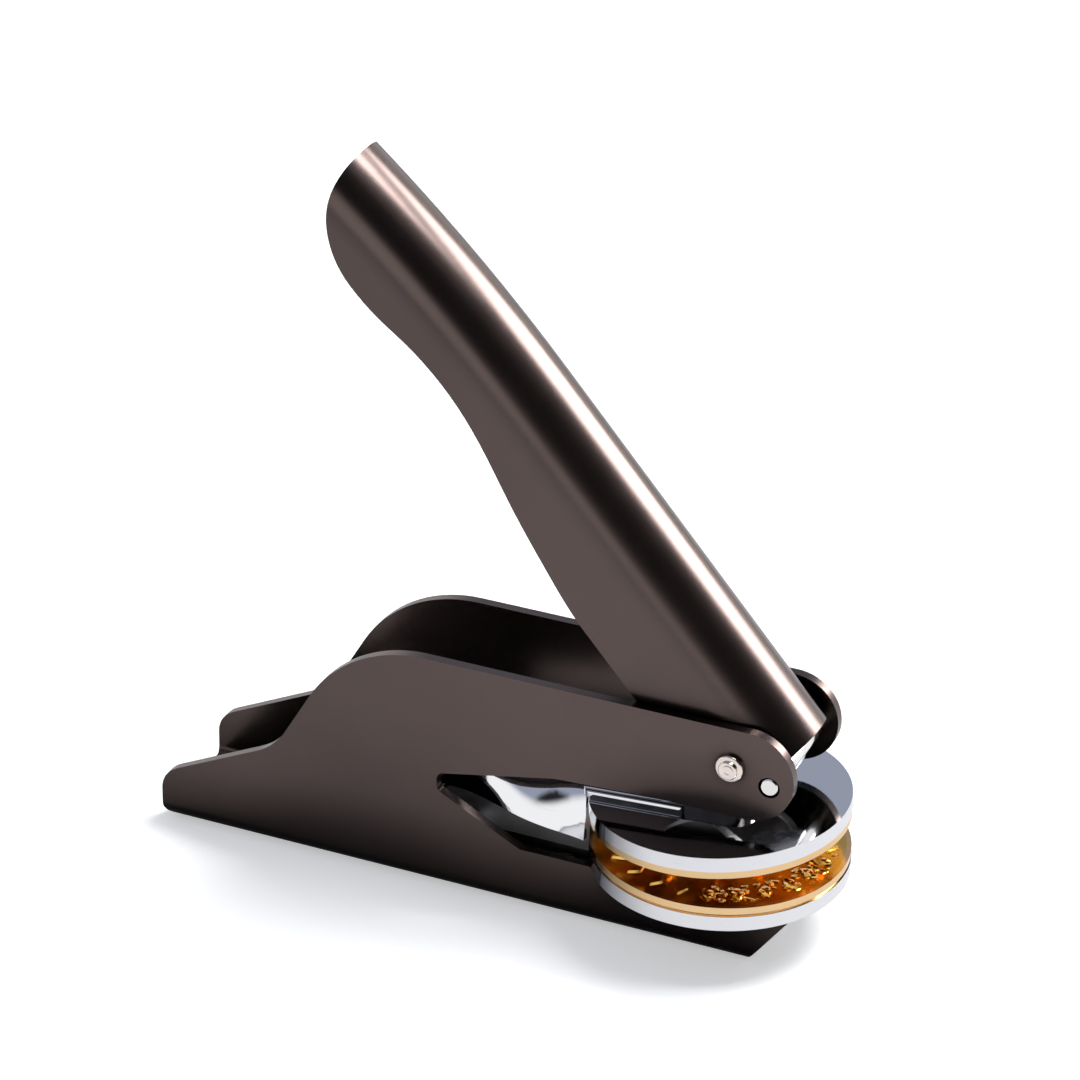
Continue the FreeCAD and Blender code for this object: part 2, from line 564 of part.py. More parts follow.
def jaw_section(x, crown, setback, foot_z, sheet):
    """Cross-section of the arm: level crown, shoulders that lean out down to the feet."""
    foot = JAW_HALF_WIDTH - setback
    if sheet:
        lean = math.atan2(foot - crown, JAW_TOP - foot_z)
        inside = crown - sheet * (1 / math.cos(lean) - math.tan(lean))
        depth = JAW_TOP - foot_z
        half = [(inside, JAW_TOP - sheet), (inside + depth * math.tan(lean), foot_z - sheet)]
        corners = [Vec(x, y, z) for y, z in half] + [Vec(x, -y, z) for y, z in half[::-1]]
        return Part.makePolygon(corners + corners[:1])
    edges = []
    ends = []
    for side in (1, -1):
        low = Vec(x, side * foot, foot_z)
        high = Vec(x, side * crown, JAW_TOP - JAW_CROWN_EDGE)
        lean = (high - low) * JAW_SHOULDER_BULGE
        middle = (low + high) / 2 + Vec(0, side * lean.z, -side * lean.y)
        top = Vec(x, side * (crown - JAW_CROWN_EDGE), JAW_TOP)
        edges.append([arc(low, middle, high), line(high, top)])
        ends.append((low, top))
    across = line(ends[0][1], ends[1][1])
    below = line(ends[1][0], ends[0][0])
    return Part.Wire(edges[0] + [across] + edges[1][::-1] + [below])


def jaw_lofts(sheet):
    """Neck and flared shoulders of the arm, or the hollow inside them when a sheet is given."""
    front = (JAW_FRONT_X, JAW_CROWN_FRONT, 0, JAW_FLANGE_FRONT_Z)
    rear = (JAW_NECK_X - sheet, JAW_HALF_WIDTH - JAW_BEND, 0, JAW_NECK_Z)
    flared = [jaw_section(*station, sheet) for station in JAW_STATIONS + [front]]
    return [Part.makeLoft([jaw_section(*rear, sheet), flared[0]], True, True),
            Part.makeLoft(flared, True, sheet > 0)]


def make_jaw_arm():
    """Pressed channel that carries the upper plate under its flat front pad."""
    x0 = JAW_HINGE_X - JAW_LUG_RADIUS - 1
    outside = arched_bar(JAW_HALF_WIDTH, 0, JAW_TOP, JAW_BEND, x0, JAW_NECK_X)
    inside = arched_bar(JAW_INSIDE, -1, JAW_TOP - JAW_SHEET, JAW_BEND - JAW_SHEET,
                        x0 - 1, JAW_NECK_X - JAW_SHEET)
    arm = slab(jaw_outline(), JAW_HALF_WIDTH + 1).common(outside)
    for loft in jaw_lofts(0):
        arm = arm.fuse(loft)
    for hollow in [inside] + jaw_lofts(JAW_SHEET):
        arm = arm.cut(hollow)
    pad = pad_plan(UPPER_PLATE_TOP).extrude(Vec(0, 0, JAW_SHEET))
    soft = arched_bar(JAW_HALF_WIDTH, UPPER_PLATE_TOP - 1, JAW_TOP, PAD_EDGE_RADIUS,
                      JAW_FRONT_X - 1, PAD_NOSE_X + 1)
    nose = [e for e in pad.Edges
            if e.BoundBox.ZLength > JAW_SHEET / 2 and e.BoundBox.XMin > PAD_NOSE_X - 0.1]
    pad = pad.makeFillet(PAD_NOSE_RADIUS, nose)
    step = [e for e in pad.Edges
            if e.BoundBox.ZLength > JAW_SHEET / 2 and abs(e.BoundBox.XMin - PAD_STEP_X) < 0.1
            and abs(abs(e.BoundBox.YMin) - JAW_HALF_WIDTH) < 0.1]
    pad = pad.makeFillet(PAD_STEP_RADIUS, step)
    rear = [e for e in pad.Edges
            if e.BoundBox.ZLength > JAW_SHEET / 2 and e.BoundBox.XMax < JAW_FRONT_X + 0.1]
    pad = pad.makeFillet(PAD_REAR_RADIUS, rear).common(soft)
    rim = rod_z(PLATE_RADIUS + JAW_PLATE_CLEARANCE, 0, 0, 0, UPPER_PLATE_TOP)
    arm = arm.cut(rim).fuse(pad).removeSplitter()
    arm = arm.cut(rod_y(HINGE_PIN_RADIUS + RUNNING_FIT, JAW_HINGE_X, JAW_HINGE_Z, HALF_WIDTH))
    for x, y in RIVET_PLACES:
        arm = arm.cut(rod_z(RIVET_RADIUS + PRESS_FIT, x, y, UPPER_PLATE_TOP - 1, JAW_TOP + 1))
    return opened(arm)


def plate(bottom):
    return rod_z(PLATE_RADIUS, 0, 0, bottom, bottom + PLATE_THICK)


def make_upper_plate():
    disc = plate(UPPER_PLATE_BOTTOM)
    for x, y in RIVET_PLACES:
        disc = disc.cut(rod_z(RIVET_RADIUS + PRESS_FIT, x, y, UPPER_PLATE_BOTTOM - 1, UPPER_PLATE_TOP + 1))
    for x, y in UPPER_SCREW_PLACES:
        disc = disc.cut(screw_hole(x, y, UPPER_PLATE_TOP, UPPER_PLATE_BOTTOM - 1))
    return opened(disc)


def relief_stud(radius, half_length, half_width, angle, bottom, top):
    """Lozenge with a smaller top, set on a circle round the die axis."""
    inset = (top - bottom) / 2
    loops = []
    for z, shrink in ((bottom, 0.0), (top, inset)):
        a = half_length - shrink
        b = half_width - shrink
        corners = [Vec(radius + a, 0, z), Vec(radius, b, z), Vec(radius - a, 0, z), Vec(radius, -b, z)]
        loops.append(Part.makePolygon(corners + corners[:1]))
    stud = Part.makeLoft(loops, True, True)
    stud.rotate(ORIGIN, Vec(0, 0, 1), angle)
    return stud


def ornament(grow, bottom, top):
    """Border of lozenges round a rosette, or the hollows for it when grown."""
    studs = []
    for i in range(STUD_COUNT):
        turn = 360.0 * i / STUD_COUNT
        studs.append(relief_stud(STUD_CIRCLE, 2.2 + grow, 1.5 + grow, turn, bottom, top))
    for i in range(ROSETTE_COUNT):
        turn = 360.0 * i / ROSETTE_COUNT
        studs.append(relief_stud(ROSETTE_CIRCLE, 4.2 + grow, 1.7 + grow, turn, bottom, top))
    return studs


def make_lower_die():
    """Brass die with a plain raised border of lozenges and a small rosette."""
    base = LOWER_PLATE_TOP
    face = LOWER_DIE_TOP
    die = rod_z(DIE_RADIUS, 0, 0, base + DIE_NECK, face)
    die = die.fuse(rod_z(DIE_NECK_RADIUS, 0, 0, base, base + DIE_NECK)).removeSplitter()
    die = die.multiFuse(ornament(0, face - DIE_RELIEF, face + DIE_RELIEF))
    for x, y in LOWER_SCREW_PLACES:
        die = die.cut(rod_z(SCREW_RADIUS + PRESS_FIT, x, y, base - 1, face - BLIND_WALL))
    return die


def make_upper_die():
    """Brass counter die with hollows that answer the raised ornament."""
    die = rod_z(DIE_RADIUS, 0, 0, UPPER_DIE_BOTTOM, UPPER_PLATE_BOTTOM)
    low = UPPER_DIE_BOTTOM - DIE_RELIEF
    for hollow in ornament(DIE_RELIEF_PLAY, low, UPPER_DIE_BOTTOM + DIE_RELIEF):
        die = die.cut(hollow)
    blind = UPPER_DIE_BOTTOM + DIE_RELIEF + BLIND_WALL
    for x, y in UPPER_SCREW_PLACES:
        die = die.cut(rod_z(SCREW_RADIUS + PRESS_FIT, x, y, blind, UPPER_PLATE_BOTTOM + 1))
    return opened(die)


def make_upper_rivets():
    rods = [rod_z(RIVET_RADIUS, x, y, UPPER_PLATE_BOTTOM, JAW_TOP) for x, y in RIVET_PLACES]
    return opened(Part.makeCompound(rods))


def make_upper_screws():
    tip = UPPER_DIE_BOTTOM + DIE_RELIEF + BLIND_WALL + PRESS_FIT
    screws = [sunk_screw(x, y, UPPER_PLATE_TOP, tip) for x, y in UPPER_SCREW_PLACES]
    return opened(Part.makeCompound(screws))


# --------------------------------------------------------------- lower jaw
def make_lower_plate():
    disc = plate(LEDGE_Z)
    for x, y in RIVET_PLACES:
        disc = disc.cut(rod_z(RIVET_RADIUS + PRESS_FIT, x, y, LEDGE_Z - 1, LOWER_PLATE_TOP + 1))
    for x, y in LOWER_SCREW_PLACES:
        disc = disc.cut(screw_hole(x, y, LEDGE_Z, LOWER_PLATE_TOP + 1))
    return disc


def make_lower_arm():
    """Flat strip under the lower plate, with two hinge lugs turned up at the rear."""
    z0 = LOWER_ARM_BOTTOM
    wide = box(LOWER_ARM_WIDE_X, LOWER_ARM_FRONT_X, -JAW_HALF_WIDTH, JAW_HALF_WIDTH, z0, LEDGE_Z)
    rear_x = JAW_HINGE_X - HINGE_LUG_RADIUS
    strip = box(rear_x, LOWER_ARM_WIDE_X, -LOWER_ARM_HALF_WIDTH, LOWER_ARM_HALF_WIDTH, z0, LEDGE_Z)
    corners = [e for e in wide.Edges
               if e.BoundBox.ZLength > JAW_SHEET / 2 and e.BoundBox.XMin > LOWER_ARM_FRONT_X - 0.1]
    wide = wide.makeFillet(PAD_NOSE_RADIUS, corners)
    arm = wide.fuse(strip)
    side = rod_y(HINGE_LUG_RADIUS, JAW_HINGE_X, JAW_HINGE_Z, LOWER_ARM_HALF_WIDTH)
    stem = box(rear_x, JAW_HINGE_X + HINGE_LUG_RADIUS, -LOWER_ARM_HALF_WIDTH, LOWER_ARM_HALF_WIDTH,
               z0, JAW_HINGE_Z)
    inner = LOWER_ARM_HALF_WIDTH - HINGE_LUG_SHEET
    space = box(rear_x - 1, JAW_HEEL_X, -inner, inner, LEDGE_Z, JAW_TOP)
    arm = arm.fuse(side.fuse(stem).cut(space)).removeSplitter()
    arm = arm.cut(rod_y(HINGE_PIN_RADIUS + PRESS_FIT, JAW_HINGE_X, JAW_HINGE_Z, HALF_WIDTH))
    for x, y in RIVET_PLACES:
        arm = arm.cut(rod_z(RIVET_RADIUS + PRESS_FIT, x, y, z0 - 1, LEDGE_Z + 1))
    arm = arm.cut(rod_z(RIVET_RADIUS + PRESS_FIT, LEAF_FOOT_X, 0, z0 - 1, LEDGE_Z + 1))
    for x in POST_PLACES:
        arm = arm.cut(rod_z(SCREW_RADIUS + PRESS_FIT, x, 0, z0 - 1, LEDGE_Z + 1))
    return arm


def make_lower_rivets():
    rods = [rod_z(RIVET_RADIUS, x, y, LOWER_ARM_BOTTOM, LOWER_PLATE_TOP) for x, y in RIVET_PLACES]
    return Part.makeCompound(rods)


def make_lower_screws():
    tip = LOWER_DIE_TOP - BLIND_WALL - PRESS_FIT
    screws = [slotted(sunk_screw(x, y, LEDGE_Z, tip), x, y, LEDGE_Z) for x, y in LOWER_SCREW_PLACES]
    return Part.makeCompound(screws)


def make_hinge_pin():
    return rod_y(HINGE_PIN_RADIUS, JAW_HINGE_X, JAW_HINGE_Z, WALL_INSIDE - HINGE_PIN_END_PLAY)


def make_clip_posts():
    posts = []
    for x in POST_PLACES:
        post = rod_z(POST_RADIUS, x, 0, FRAME_SHEET, LOWER_ARM_BOTTOM)
        post = post.cut(rod_z(SCREW_RADIUS + PRESS_FIT, x, 0, 0, LEDGE_Z))
        posts.append(post)
    return Part.makeCompound(posts)


def make_clip_screws():
    """Up through the floor and the posts into the lower arm."""
    screws = [slotted(sunk_screw(x, 0, 0, LEDGE_Z), x, 0, 0) for x in POST_PLACES]
    return Part.makeCompound(screws)


# ------------------------------------------------------------- jaw spring
def jaw_underside(x):
    """Height of the underside of the open jaw at x."""
    lift = (x - JAW_HINGE_X) * OPEN_SIN / OPEN_COS
    return JAW_HINGE_Z + (JAW_TOP - JAW_SHEET - JAW_HINGE_Z) / OPEN_COS + lift


def make_jaw_spring():
    """Bowed leaf: a flat foot on the lower arm and a tip under the jaw."""
    foot_end = at(LEAF_FOOT_X + LEAF_FOOT_LENGTH / 2, LEDGE_Z)
    rise = jaw_underside(LEAF_TIP_X) - LEAF_PLAY - LEAF_THICK - LEDGE_Z
    run = LEAF_TIP_X - foot_end.x
    turn = 2 * math.atan2(rise, run)
    bow = (run ** 2 + rise ** 2) / (4 * rise)
    low = []
    for lift in (0, LEAF_THICK):
        start = at(LEAF_FOOT_X - LEAF_FOOT_LENGTH / 2, LEDGE_Z + lift)
        first = foot_end + at(0, lift)
        first_radius = bow - lift
        first_centre = at(foot_end.x, LEDGE_Z + bow)
        first_mid = first_centre + polar(first_radius, -90 + math.degrees(turn) / 2)
        middle = first_centre + polar(first_radius, -90 + math.degrees(turn))
        last_centre = at(LEAF_TIP_X, LEDGE_Z + rise - bow)
        last_radius = bow + lift
        last_mid = last_centre + polar(last_radius, 90 + math.degrees(turn) / 2)
        tip = at(LEAF_TIP_X, LEDGE_Z + rise + lift)
        low.append([line(start, first), arc(first, first_mid, middle), arc(middle, last_mid, tip)])
    ends = [line(low[0][0].Vertexes[0].Point, low[1][0].Vertexes[0].Point),
            line(low[0][-1].Vertexes[-1].Point, low[1][-1].Vertexes[-1].Point)]
    foot = LEAF_WIDTH / 2
    tip = LEAF_TIP_WIDTH / 2
    heel_x = LEAF_FOOT_X - LEAF_FOOT_LENGTH / 2
    corners = [Vec(heel_x, -foot, 0), Vec(foot_end.x, -foot, 0), Vec(LEAF_TIP_X, -tip, 0),
               Vec(LEAF_TIP_X, tip, 0), Vec(foot_end.x, foot, 0), Vec(heel_x, foot, 0)]
    plan = Part.Face(Part.makePolygon(corners + corners[:1])).extrude(Vec(0, 0, FRAME_TOP_Z))
    leaf = slab(low[0] + low[1] + ends, foot).common(plan)
    return leaf.cut(rod_z(RIVET_RADIUS + PRESS_FIT, LEAF_FOOT_X, 0, 0, JAW_TOP))


def make_spring_rivet():
    top = LEDGE_Z + LEAF_THICK
    shank = rod_z(RIVET_RADIUS, LEAF_FOOT_X, 0, LOWER_ARM_BOTTOM, top)
    head = rod_z(SPRING_RIVET_HEAD, LEAF_FOOT_X, 0, top, top + SPRING_RIVET_HEIGHT)
    return shank.fuse(head)


# -------------------------------------------------------------------- build
NODES = {
    "frame": make_frame,
    "pivot_rivet": make_pivot_rivet,
    "stop_pin": make_stop_pin,
    "handle_shell": make_handle_shell,
    "cam_bracket": make_cam_bracket,
    "bracket_rivets": make_bracket_rivets,
    "handle_spring": make_handle_spring,
    "upper_jaw_arm": make_jaw_arm,
    "upper_plate": make_upper_plate,
    "upper_die": make_upper_die,
    "upper_rivets": make_upper_rivets,
    "upper_die_screws": make_upper_screws,
    "lower_jaw_arm": make_lower_arm,
    "lower_plate": make_lower_plate,
    "lower_die": make_lower_die,
    "lower_rivets": make_lower_rivets,
    "lower_die_screws": make_lower_screws,
    "jaw_hinge_pin": make_hinge_pin,
    "jaw_spring": make_jaw_spring,
    "spring_rivet": make_spring_rivet,
    "clip_posts": make_clip_posts,
    "clip_screws": make_clip_screws,
}


def main():
    os.makedirs("parts", exist_ok=True)
    for name, make in NODES.items():
        shape = make()
        shape.exportStep("parts/" + name + ".step")
        print(name, "solids", len(shape.Solids), "valid", shape.isValid(), "volume", round(shape.Volume, 1))


main()
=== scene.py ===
import bmesh
import bpy
import json
import math
from mathutils import Matrix, Vector


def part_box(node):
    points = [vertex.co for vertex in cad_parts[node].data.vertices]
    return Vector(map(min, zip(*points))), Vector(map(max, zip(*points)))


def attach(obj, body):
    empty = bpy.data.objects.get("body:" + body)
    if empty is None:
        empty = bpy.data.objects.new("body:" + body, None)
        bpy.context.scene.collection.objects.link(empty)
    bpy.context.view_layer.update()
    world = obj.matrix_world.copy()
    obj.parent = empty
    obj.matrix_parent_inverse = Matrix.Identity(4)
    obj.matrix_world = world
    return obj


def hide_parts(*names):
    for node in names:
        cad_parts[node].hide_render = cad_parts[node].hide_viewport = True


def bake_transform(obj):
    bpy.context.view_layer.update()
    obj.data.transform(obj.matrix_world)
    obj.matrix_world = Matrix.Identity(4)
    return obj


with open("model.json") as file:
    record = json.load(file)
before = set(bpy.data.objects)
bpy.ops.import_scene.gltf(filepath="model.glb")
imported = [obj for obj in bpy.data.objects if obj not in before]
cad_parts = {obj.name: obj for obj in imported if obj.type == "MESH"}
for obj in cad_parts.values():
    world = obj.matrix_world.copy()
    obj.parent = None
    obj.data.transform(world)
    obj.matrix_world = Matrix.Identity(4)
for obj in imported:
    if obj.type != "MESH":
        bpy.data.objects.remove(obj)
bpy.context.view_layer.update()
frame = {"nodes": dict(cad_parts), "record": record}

nodes = frame["nodes"]

# Plain colours in pairs are the two ends of a clouding.
GUNMETAL = ((0.124, 0.094, 0.086), (0.136, 0.103, 0.095))
# Edge colour: partly rubbed-through wear, partly a painted highlight along the edges.
RUBBED_EDGE_AND_HIGHLIGHT = ((0.26, 0.19, 0.165), (0.52, 0.38, 0.33))
CHROME = (0.86, 0.865, 0.885)
CHROME_SCRATCH = (0.76, 0.765, 0.785)
BRASS_FACE = ((0.78, 0.46, 0.10), (0.84, 0.53, 0.16))
# Rim colour: partly the turned finish, partly a painted sheen.
BRASS_RIM_AND_SHEEN = ((0.86, 0.58, 0.29), (0.92, 0.65, 0.36))
NICKEL = (0.98, 0.87, 0.79)
PIN_STEEL = (0.99, 0.97, 0.95)
TOOL_STEEL = (0.30, 0.29, 0.29)
SPRING_STEEL = (0.48, 0.48, 0.50)
DARK_GRAIN = 0.86               # of a plain steel's colour, in the darker end of its grain

# Lengths are in metres unless a comment says otherwise.
PAINTED_SHADE_REACH = 0.016            # of the painted shade that darkens the plating's colour near other surfaces
# how sharply the painted shade deepens
PAINTED_SHADE_POWER = 2.2
RIM_RADIUS = 0.0212             # of the brass faces, where the turned rim and its painted sheen begin
RIM_FADE = 0.0003
ORNAMENT_RADII = (0.0156, 0.0198)
ORNAMENT_FADE = 0.0004
ORNAMENT_CELLS = 0.62           # raised spots per millimetre in the chased border
ORNAMENT_TURN = 160             # degrees; the border runs in two arcs
ORNAMENT_DEPTH = 0.00035

EDGE_WIDTHS = {"frame": 0.00028, "handle_shell": 0.00022}
EDGE_ANGLE = math.radians(50)   # edges sharper than this get the lighter edge colour, partly wear and partly a painted highlight


# ---------------------------------------------------------------- material kit
class Nodes:
    """Short calls for the nodes of one shader tree."""

    def __init__(self, tree):
        self.tree = tree

    def add(self, kind, **settings):
        node = self.tree.nodes.new(kind)
        for key, value in settings.items():
            setattr(node, key, value)
        return node

    def link(self, out, into):
        self.tree.links.new(out, into)

    def feed(self, socket, value):
        """Give a socket a number, a colour or another node's output."""
        if isinstance(value, (int, float)):
            socket.default_value = value
        elif isinstance(value, tuple):
            socket.default_value = (*value, 1)
        else:
            self.link(value, socket)

    def math(self, operation, *values):
        node = self.add("ShaderNodeMath", operation=operation)
        for socket, value in zip(node.inputs, values):
            self.feed(socket, value)
        return node.outputs[0]

    def range(self, value, low, high, low_in=0.25, high_in=0.75, interpolation="LINEAR"):
        node = self.add("ShaderNodeMapRange", interpolation_type=interpolation)
        node.inputs["From Min"].default_value = low_in
        node.inputs["From Max"].default_value = high_in
        node.inputs["To Min"].default_value = low
        node.inputs["To Max"].default_value = high
        self.link(value, node.inputs["Value"])
        return node.outputs["Result"]

    def band(self, value, low, high, soft, interpolation="LINEAR"):
        """1 between two values, fading to 0 over a soft width outside them."""
        rise = self.range(value, 0, 1, low - soft, low, interpolation)
        fall = self.range(value, 1, 0, high, high + soft, interpolation)
        return self.math("MULTIPLY", rise, fall)

    def blend(self, factor, first, second):
        """Mix two colours, each plain or another node's output."""
        node = self.add("ShaderNodeMix", data_type="RGBA")
        self.link(factor, node.inputs[0])
        self.feed(node.inputs[6], first)
        self.feed(node.inputs[7], second)
        return node.outputs[2]

    def show(self, camera_shader, other_shader, out, mirrored=None):
        """One shader for the camera, through glass and in a share of what metal mirrors."""
        path = self.add("ShaderNodeLightPath").outputs
        shown = self.math("MAXIMUM", path["Is Camera Ray"], path["Is Transmission Ray"])
        if mirrored:
            in_metal = self.math("MULTIPLY", path["Is Glossy Ray"], mirrored)
            shown = self.math("MAXIMUM", shown, in_metal)
        mix = self.add("ShaderNodeMixShader")
        self.link(shown, mix.inputs[0])
        self.link(other_shader.outputs[0], mix.inputs[1])
        self.link(camera_shader.outputs[0], mix.inputs[2])
        self.link(mix.outputs[0], out.inputs["Surface"])


class Metal(Nodes):
    """A metallic Principled material and the patterns that feed it."""

    def __init__(self, name, color, roughness, metallic=1.0):
        self.material = bpy.data.materials.new(name)
        self.material.use_nodes = True
        super().__init__(self.material.node_tree)
        self.sockets = self.tree.nodes["Principled BSDF"].inputs
        self.sockets["Base Color"].default_value = (*color, 1)
        self.sockets["Metallic"].default_value = metallic
        self.sockets["Roughness"].default_value = roughness
        self.place = self.add("ShaderNodeTexCoord").outputs["Object"]

    def color(self, out):
        self.link(out, self.sockets["Base Color"])

    def rough(self, out):
        self.link(out, self.sockets["Roughness"])

    def bump(self, height, strength, distance):
        node = self.add("ShaderNodeBump")
        node.inputs["Strength"].default_value = strength
        node.inputs["Distance"].default_value = distance
        self.link(height, node.inputs["Height"])
        self.link(node.outputs["Normal"], self.sockets["Normal"])

    def stretched(self, scale):
        node = self.add("ShaderNodeMapping")
        node.inputs["Scale"].default_value = scale
        self.link(self.place, node.inputs["Vector"])
        return node.outputs["Vector"]

    def noise(self, scale, detail, vector=None, roughness=0.55):
        node = self.add("ShaderNodeTexNoise")
        node.inputs["Scale"].default_value = scale
        node.inputs["Detail"].default_value = detail
        node.inputs["Roughness"].default_value = roughness
        self.link(vector or self.place, node.inputs["Vector"])
        return node.outputs["Fac"]

    def clouded(self, scale, detail, first, second):
        """A colour that drifts between two others."""
        return self.blend(self.range(self.noise(scale, detail), 0, 1), first, second)

    def stacked(self, first, second, share):
        """One height plus a share of another."""
        return self.math("ADD", first, self.math("MULTIPLY", second, share))

    def painted_corner_shade(self, color):
        """Paint shade into a colour where other surfaces stand close: darker in corners, by
        walls and near the floor.
        """
        shade = self.add("ShaderNodeAmbientOcclusion", samples=8)
        shade.inputs["Distance"].default_value = PAINTED_SHADE_REACH
        scale = self.add("ShaderNodeVectorMath", operation="SCALE")
        self.link(color, scale.inputs[0])
        self.link(self.math("POWER", shade.outputs["AO"], PAINTED_SHADE_POWER), scale.inputs["Scale"])
        return scale.outputs[0]

    def polar_place(self):
        """Distance from the vertical axis through the dies, and the angle round it."""
        split = self.add("ShaderNodeSeparateXYZ")
        self.link(self.place, split.inputs[0])
        x, y = split.outputs["X"], split.outputs["Y"]
        square = self.math("ADD", self.math("POWER", x, 2.0), self.math("POWER", y, 2.0))
        return self.math("SQRT", square), self.math("ARCTAN2", y, x)


def gunmetal():
    """Blasted and plated sheet: satin, with a fine even grain and faint clouding, and painted
    shade where other surfaces stand close.
    """
    s = Metal("gunmetal", (0.128, 0.097, 0.093), 0.26)
    # The base colour carries painted shade in corners and near the walls and floor.
    s.color(s.painted_corner_shade(s.clouded(55.0, 4.0, *GUNMETAL)))
    s.rough(s.range(s.noise(160.0, 5.0), 0.235, 0.255))
    s.bump(s.noise(4200.0, 2.0), 0.06, 0.00002)
    return s.material


def worn_and_highlit_edge():
    """Edges of the same sheet, rubbed through to the warmer and duller metal below, and lighter
    as a painted highlight along the edge.
    """
    s = Metal("gunmetal_edge", (0.40, 0.29, 0.25), 0.4, metallic=0.6)
    s.color(s.clouded(420.0, 4.0, *RUBBED_EDGE_AND_HIGHLIGHT))
    s.rough(s.range(s.noise(300.0, 3.0), 0.32, 0.44))
    return s.material


def chrome():
    """Mirror plating on polished steel: a slight waviness and fine handling scratches."""
    s = Metal("chrome", CHROME, 0.05)
    streaks = s.noise(95.0, 5.0, s.stretched((2, 30, 12)), 0.7)
    scratches = s.range(streaks, 0, 1, 0.60, 0.74)
    s.color(s.blend(scratches, CHROME, CHROME_SCRATCH))
    s.rough(s.range(s.noise(240.0, 4.0), 0.03, 0.08))
    s.bump(s.stacked(s.noise(120.0, 1.0), scratches, 0.12), 0.10, 0.00006)
    return s.material


def chased_border(s, radius, turn):
    """Height of the raised spots, in two arcs near the rim of a die."""
    cells = s.add("ShaderNodeTexVoronoi", feature="SMOOTH_F1")
    cells.inputs["Scale"].default_value = 1000 * ORNAMENT_CELLS
    cells.inputs["Smoothness"].default_value = 0.35
    s.link(s.place, cells.inputs["Vector"])
    spots = s.range(cells.outputs["Distance"], 1, 0, 0.15, 0.5)
    border = s.band(radius, *ORNAMENT_RADII, ORNAMENT_FADE)
    doubled = s.math("MULTIPLY_ADD", turn, 2.0, math.radians(ORNAMENT_TURN))
    arcs = s.range(s.math("SINE", doubled), 0, 1, 0.0, 0.2)
    return s.math("MULTIPLY", s.math("MULTIPLY", border, arcs), spots)


def brass():
    """Machined brass: lacquered and deeper on the faces; the turned rims lighter, partly their
    finish and partly a painted sheen.
    """
    s = Metal("brass", (0.86, 0.56, 0.24), 0.16)
    radius, turn = s.polar_place()
    # The lighter rim colour is partly the turned finish and partly a painted sheen.
    rim = s.range(radius, 0, 1, RIM_RADIUS - RIM_FADE, RIM_RADIUS)
    tarnish = s.range(s.noise(110.0, 4.0), 0, 1)
    s.color(s.blend(rim, s.blend(tarnish, *BRASS_FACE), s.blend(tarnish, *BRASS_RIM_AND_SHEEN)))
    s.rough(s.range(s.noise(300.0, 4.0), 0.10, 0.2))
    chased = chased_border(s, radius, turn)
    s.bump(s.stacked(chased, s.noise(700.0, 3.0), 0.02), 0.8, ORNAMENT_DEPTH)
    return s.material


def plain_steel(name, color, low, high, grain):
    """Drawn or turned steel with a directional grain."""
    s = Metal(name, color, low)
    s.color(s.clouded(90.0, 3.0, tuple(DARK_GRAIN * c for c in color), color))
    s.rough(s.range(s.noise(420.0, 4.0), low, high))
    s.bump(s.noise(900.0, 2.0, s.stretched(grain)), 0.12, 0.00001)
    return s.material


finishes = {
    "gunmetal": gunmetal(),
    "chrome": chrome(),
    "brass": brass(),
    "nickel": plain_steel("nickel", NICKEL, 0.12, 0.2, (1, 6, 1)),
    "steel_pin": plain_steel("steel_pin", PIN_STEEL, 0.12, 0.2, (1, 6, 1)),
    "tool_steel": plain_steel("tool_steel", TOOL_STEEL, 0.28, 0.42, (1, 1, 5)),
    "spring_steel": plain_steel("spring_steel", SPRING_STEEL, 0.2, 0.32, (5, 1, 1)),
}

for entry in frame["record"]["subparts"]:
    piece = nodes[entry["node"]]
    piece.data.materials.clear()
    piece.data.materials.append(finishes[entry["material_slot"]])

for name, width in EDGE_WIDTHS.items():
    piece = nodes[name]
    # The bevelled edges take the lighter edge colour, which is partly a painted edge highlight.
    piece.data.materials.append(worn_and_highlit_edge())
    bevel = piece.modifiers.new("soft_edges", "BEVEL")
    bevel.width = width
    bevel.segments = 2
    bevel.limit_method = "ANGLE"
    bevel.angle_limit = EDGE_ANGLE
    bevel.material = 1
    bevel.harden_normals = True


def placed(name, mesh):
    piece = bpy.data.objects.new(name, mesh)
    bpy.context.scene.collection.objects.link(piece)
    return piece


# ------------------------------------------------------------- turned pieces
TURNED_STEPS = 96               # sides of a turned piece
BOSS_RADIUS = 0.00165           # of the rivet's narrow end, which stands out of its collar
BOSS_REACH = 0.0007
BOSS_EDGE = 0.0003              # radius of the rounded edge
COLLAR_EDGE = 0.00035
COLLAR_EDGE_START = 0.0004      # below the collar's face
FILLET = (0.0001, 0.00005)      # out and up, where the boss leaves the collar
DISH_RING = [(0.00105, 0.00012), (0.0009, 0.00014)]     # (radius, depth) round the dish
DOME_RADIUS = 0.0025            # of the low dome inside the dish
DOME_DEPTH = 0.0026             # of the dome's centre


